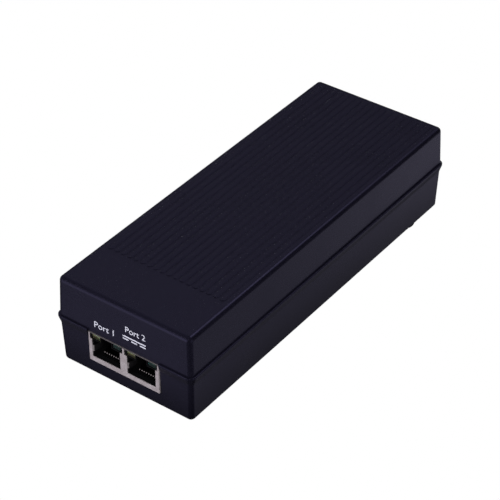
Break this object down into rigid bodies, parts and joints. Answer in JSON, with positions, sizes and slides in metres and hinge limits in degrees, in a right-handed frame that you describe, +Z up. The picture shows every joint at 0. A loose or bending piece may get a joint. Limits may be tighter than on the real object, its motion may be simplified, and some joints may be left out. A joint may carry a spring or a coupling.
{
  "type": "power over ethernet injector",
  "caption": "Long black plastic power brick with ribbed top, twin shielded network ports at one end and a mains inlet at the other, that adds power to a network cable.",
  "frame": {"origin": "middle of the case's footprint, on the plane of the four rubber feet", "axes": "+X across the case to the right of the ports, +Y along the case from the network ports to the mains inlet, +Z up"},
  "size_m": [0.0616, 0.1636, 0.0396],
  "materials": {
    "case_plastic": "fine spark-eroded texture, blue-black",
    "foot_rubber": "matt",
    "screw_steel": "black-oxide to zinc, satin",
    "label_film": "satin silver film, blank",
    "shield_nickel": "nickel-plated sheet, satin",
    "jack_plastic": "black, slightly glossy",
    "contact_gold": "gold plated",
    "yellow_lens": "tinted, unlit",
    "green_lens": "tinted, unlit",
    "tinned_wire": "tinned",
    "inlet_plastic": "black moulding",
    "blade_nickel": "nickel-plated brass",
    "board_laminate": "green solder mask",
    "insulation_film": "milky film",
    "fuse_ceramic": "glazed ceramic with metal caps",
    "varistor_coating": "dipped epoxy",
    "disc_coating": "dipped epoxy",
    "film_case": "moulded box",
    "core_ferrite": "sintered ferrite",
    "winding_copper": "enamelled copper wire",
    "winding_tape": "polyester tape over wire",
    "package_plastic": "moulded epoxy",
    "can_sleeve": "shrink sleeve over a can",
    "choke_sleeve": "shrink sleeve",
    "sink_aluminium": "plain sheet",
    "bobbin_plastic": "phenolic",
    "chip_ceramic": "ceramic chips with tinned ends"
  },
  "bodies": {
    "root": {"top_cover": "case_plastic", "bottom_case": "case_plastic", "rubber_feet": "foot_rubber", "case_screws": "screw_steel", "rating_label": "label_film", "jack_shield": "shield_nickel", "jack_housing": "jack_plastic", "contact_carriers": "jack_plastic", "data_in_terminals": "contact_gold", "power_out_terminals": "contact_gold", "yellow_lamps": "yellow_lens", "green_lamps": "green_lens", "lamp_leads": "tinned_wire", "inlet_housing": "inlet_plastic", "inlet_line_blade": "blade_nickel", "inlet_neutral_blade": "blade_nickel", "inlet_earth_blade": "blade_nickel", "main_board": "board_laminate", "insulation_sheet": "insulation_film", "mains_fuse": "fuse_ceramic", "surge_varistor": "varistor_coating", "filter_capacitor": "film_case", "choke_core": "core_ferrite", "choke_windings": "winding_copper", "bridge_rectifier": "package_plastic", "bulk_capacitor": "can_sleeve", "primary_switch": "package_plastic", "primary_heat_sink": "sink_aluminium", "safety_capacitor": "disc_coating", "switch_controller": "package_plastic", "transformer_core": "core_ferrite", "transformer_bobbin": "bobbin_plastic", "transformer_windings": "winding_tape", "signal_isolator": "package_plastic", "output_rectifier": "package_plastic", "output_heat_sink": "sink_aluminium", "heat_sink_screws": "screw_steel", "output_capacitors": "can_sleeve", "output_choke": "choke_sleeve", "port_controller": "package_plastic", "port_transformer": "package_plastic", "chip_components": "chip_ceramic"},
    "data_in_springs": {"data_in_contacts": "contact_gold"},
    "power_out_springs": {"power_out_contacts": "contact_gold"}
  },
  "joints": [
    {"name": "data_in_press", "type": "hinge", "parent": "root", "child": "data_in_springs", "pos_m": [-0.00794, -0.0771, 0.0114], "axis": [-1, 0, 0], "range_deg": [0, 10], "stiffness_Nm_per_rad": 0.32},
    {"name": "power_out_press", "type": "hinge", "parent": "root", "child": "power_out_springs", "pos_m": [0.00794, -0.0771, 0.0114], "axis": [-1, 0, 0], "range_deg": [0, 10], "stiffness_Nm_per_rad": 0.32}
  ]
}
